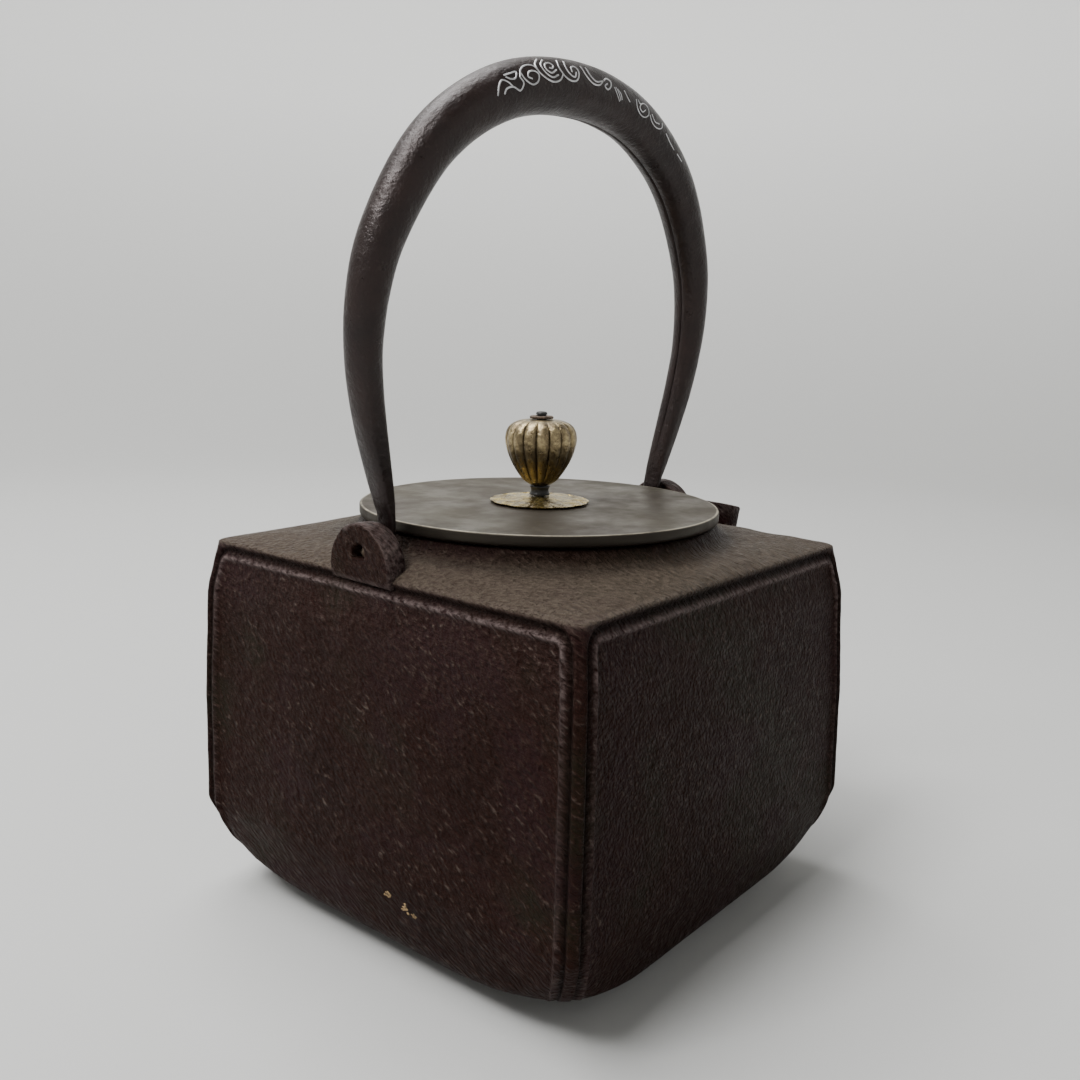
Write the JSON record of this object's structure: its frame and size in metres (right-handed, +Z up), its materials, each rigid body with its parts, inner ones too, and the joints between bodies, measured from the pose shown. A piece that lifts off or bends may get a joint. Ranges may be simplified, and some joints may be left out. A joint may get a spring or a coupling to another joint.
{
  "type": "square cast iron kettle",
  "caption": "Square cast iron tea kettle with a tall folding bail handle, a round lift-off lid with a melon knob, and a short spout.",
  "frame": {"origin": "centre of the kettle's resting face, on the table", "axes": "+Z up, +X towards the spout along the handle's hinge axis, +Y to the left when looking along +X"},
  "size_m": [0.1607, 0.1333, 0.2159],
  "materials": {
    "cast_iron": "rough sand-cast skin with a brown-black lacquer",
    "handle_iron": "satin dark brown patina on rolled wrought iron sheet, with silver wire inlay",
    "lid_bronze": "satin brown-grey patinated bronze",
    "knob_brass": "aged brass",
    "peg_brass": "dull brass",
    "dark_iron": "blackened iron"
  },
  "bodies": {
    "kettle": {"body_shell": "cast_iron", "spout": "cast_iron", "lug_rear": "cast_iron", "lug_spout": "cast_iron"},
    "handle": {"handle_shell": "handle_iron", "handle_peg_rear": "peg_brass", "handle_peg_spout": "peg_brass"},
    "lid": {"lid_plate": "lid_bronze", "lid_flange": "lid_bronze", "knob_seat": "knob_brass", "knob_neck": "dark_iron", "knob_shell": "knob_brass", "knob_washer": "knob_brass", "knob_post": "dark_iron", "clench_washer": "dark_iron"}
  },
  "joints": [
    {"name": "handle_swing", "type": "hinge", "parent": "kettle", "child": "handle", "pos_m": [0, 0.0017, 0.1004], "axis": [1, 0, 0], "range_deg": [-90, 79]},
    {"name": "lid_lift", "type": "slide", "parent": "kettle", "child": "lid", "axis": [0, 0, 1], "range_m": [0, 0.05]}
  ]
}
